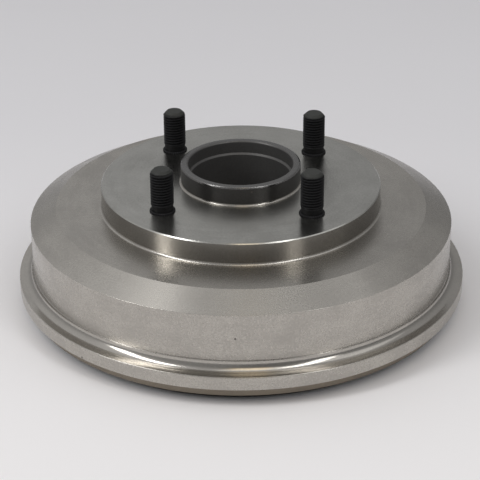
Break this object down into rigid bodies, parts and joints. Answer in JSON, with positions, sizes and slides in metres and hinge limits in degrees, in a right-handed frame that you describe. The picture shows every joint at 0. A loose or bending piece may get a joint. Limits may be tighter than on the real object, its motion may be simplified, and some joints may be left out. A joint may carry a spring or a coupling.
{
  "type": "brake drum",
  "caption": "Rear brake drum and wheel hub in one iron casting, with an open bearing bore and pressed-in wheel studs.",
  "frame": {"origin": "centre of the stud circle, on the wheel mounting face", "axes": "+Z along the axle, out towards the wheel; the studs are at 45, 135, 225 and 315 degrees from +X"},
  "size_m": [0.2394, 0.2394, 0.0893],
  "materials": {
    "turned_iron": "turned and ground, bare, lightly oiled",
    "phosphated_steel": "black phosphate, satin"
  },
  "bodies": {
    "root": {"drum": "turned_iron", "wheel_stud_1": "phosphated_steel", "wheel_stud_2": "phosphated_steel", "wheel_stud_3": "phosphated_steel", "wheel_stud_4": "phosphated_steel"}
  },
  "joints": []
}
